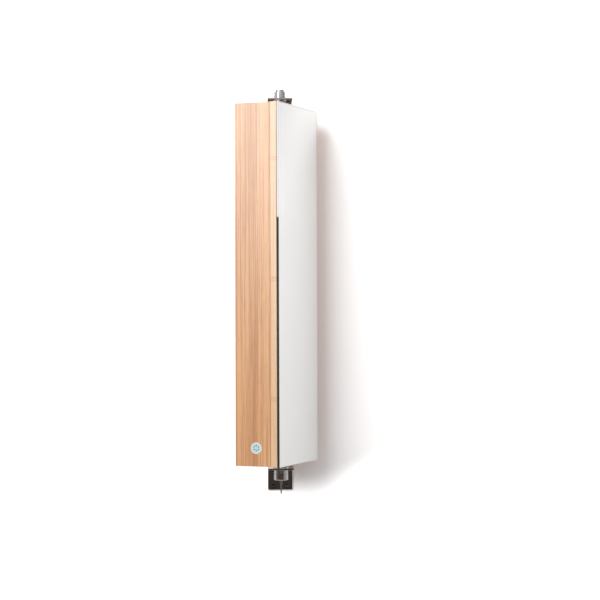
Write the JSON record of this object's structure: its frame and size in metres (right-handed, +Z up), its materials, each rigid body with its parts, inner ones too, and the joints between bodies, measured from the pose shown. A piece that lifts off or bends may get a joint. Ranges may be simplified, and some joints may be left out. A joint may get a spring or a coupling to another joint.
{
  "type": "revolving mirror cabinet",
  "caption": "Slim tall bathroom cabinet with a full-height mirror and open shelves behind it, turning about an upright axis between an upper and a lower wall bracket.",
  "frame": {"origin": "centre of the lower bracket's four wall screw holes, on the wall plane", "axes": "+Z up along the wall, +Y into the wall, +X to the right seen from the room; the pivot axis stands upright 150 mm in front of the wall"},
  "size_m": [0.1994, 0.2833, 0.9695],
  "materials": {
    "mirror": "silvered float glass, polished",
    "bamboo": "laminated bamboo strips, satin lacquer",
    "bamboo_front": "light laminated bamboo board, satin lacquer",
    "bamboo_shelf": "laminated bamboo, satin lacquer",
    "dowel_wood": "bare beech",
    "tape": "white foam tape",
    "label": "thin vinyl",
    "black_steel": "black powder coat, semi-gloss",
    "chrome": "polished chrome plate",
    "zinc_steel": "bright zinc plate",
    "dark_steel": "dark burnished steel",
    "bronze": "sintered bronze"
  },
  "bodies": {
    "wall_brackets": {"lower_wall_bracket": "black_steel", "upper_wall_bracket": "black_steel", "lower_sleeve": "chrome", "lower_bush": "bronze", "lower_thrust_washer": "bronze", "lower_washer": "chrome", "lower_lock_nut": "chrome", "lower_cup": "chrome", "lower_adjusting_screw": "dark_steel", "lower_ball": "chrome", "upper_spindle": "zinc_steel", "upper_washer": "chrome", "upper_lock_nut": "chrome", "upper_cap_nut": "chrome"},
    "cabinet": {"mirror_glass": "mirror", "mirror_tape": "tape", "front_board": "bamboo_front", "left_side_panel": "bamboo", "right_side_panel": "bamboo", "top_panel": "bamboo", "bottom_panel": "bamboo", "shelf_1": "bamboo_shelf", "shelf_2": "bamboo_shelf", "shelf_3": "bamboo_shelf", "shelf_4": "bamboo_shelf", "shelf_rail_1": "chrome", "shelf_rail_2": "chrome", "shelf_rail_3": "chrome", "shelf_rail_4": "chrome", "shelf_rail_5": "chrome", "shelf_pins": "zinc_steel", "side_dowels": "dowel_wood", "front_board_dowels": "dowel_wood", "round_label": "label", "upper_pivot_plate": "zinc_steel", "lower_pivot_plate": "zinc_steel", "upper_plate_screws": "zinc_steel", "lower_plate_screws": "zinc_steel", "upper_bush": "bronze", "lower_spindle": "zinc_steel"}
  },
  "joints": [
    {"name": "cabinet_turn", "type": "hinge", "parent": "wall_brackets", "child": "cabinet", "pos_m": [0, -0.15, 0], "axis": [0, 0, 1], "continuous": true}
  ]
}
